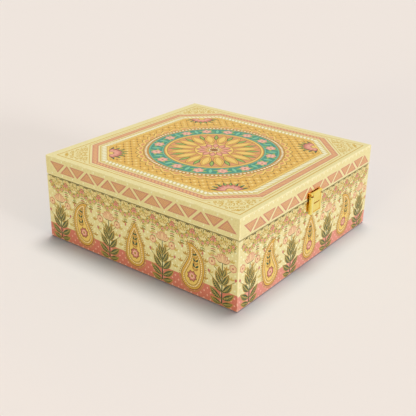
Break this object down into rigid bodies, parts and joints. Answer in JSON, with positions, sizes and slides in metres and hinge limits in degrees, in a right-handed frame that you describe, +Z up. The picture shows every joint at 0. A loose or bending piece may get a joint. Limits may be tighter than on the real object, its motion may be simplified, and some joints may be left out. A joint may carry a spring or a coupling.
{
  "type": "jar gift box",
  "caption": "Flat square keepsake box of paper-covered fibreboard, with a hinged lid, a flip-up clasp on the front and half-lapped dividers inside that part it into cells for jars.",
  "frame": {"origin": "middle of the underside, on the surface the box stands on", "axes": "+X to the right along the front, +Y from the clasp towards the hinges, +Z up"},
  "size_m": [0.254, 0.2634, 0.096],
  "materials": {
    "printed_paper": "satin printed cream paper with gold, terracotta and green ornament",
    "fibreboard": "raw medium-density fibreboard",
    "lining_paper": "plain matt ivory paper",
    "divider_board": "ivory faced board with raw grey edges",
    "gilt_metal": "polished gilt plating on pressed sheet metal"
  },
  "bodies": {
    "base": {"base_front_panel": "fibreboard", "base_back_panel": "fibreboard", "base_left_panel": "fibreboard", "base_right_panel": "fibreboard", "base_floor_panel": "fibreboard", "base_wrap": "printed_paper", "base_underside_sheet": "lining_paper", "base_wall_lining": "lining_paper", "base_floor_lining": "lining_paper", "divider_front": "divider_board", "divider_back": "divider_board", "divider_left": "divider_board", "divider_right": "divider_board", "hinge_left_base_leaf": "gilt_metal", "hinge_left_pin": "gilt_metal", "hinge_left_base_screw_1": "gilt_metal", "hinge_left_base_screw_2": "gilt_metal", "hinge_right_base_leaf": "gilt_metal", "hinge_right_pin": "gilt_metal", "hinge_right_base_screw_1": "gilt_metal", "hinge_right_base_screw_2": "gilt_metal", "clasp_catch_plate": "gilt_metal", "clasp_catch_nail_1": "gilt_metal", "clasp_catch_nail_2": "gilt_metal"},
    "lid": {"lid_top_panel": "fibreboard", "lid_front_rim": "fibreboard", "lid_back_rim": "fibreboard", "lid_left_rim": "fibreboard", "lid_right_rim": "fibreboard", "lid_wrap": "printed_paper", "lid_rim_lining": "lining_paper", "lid_ceiling_lining": "lining_paper", "hinge_left_lid_leaf": "gilt_metal", "hinge_left_lid_screw_1": "gilt_metal", "hinge_left_lid_screw_2": "gilt_metal", "hinge_right_lid_leaf": "gilt_metal", "hinge_right_lid_screw_1": "gilt_metal", "hinge_right_lid_screw_2": "gilt_metal", "clasp_lid_plate": "gilt_metal", "clasp_lid_nail_1": "gilt_metal", "clasp_lid_nail_2": "gilt_metal"},
    "clasp_flap": {"clasp_flap": "gilt_metal", "clasp_pin": "gilt_metal"}
  },
  "joints": [
    {"name": "lid_hinge", "type": "hinge", "parent": "base", "child": "lid", "pos_m": [0, 0.129, 0.074], "axis": [-1, 0, 0], "range_deg": [0, 180]},
    {"name": "clasp_swing", "type": "hinge", "parent": "lid", "child": "clasp_flap", "pos_m": [0, -0.12995, 0.0804], "axis": [-1, 0, 0], "range_deg": [0, 180]}
  ]
}
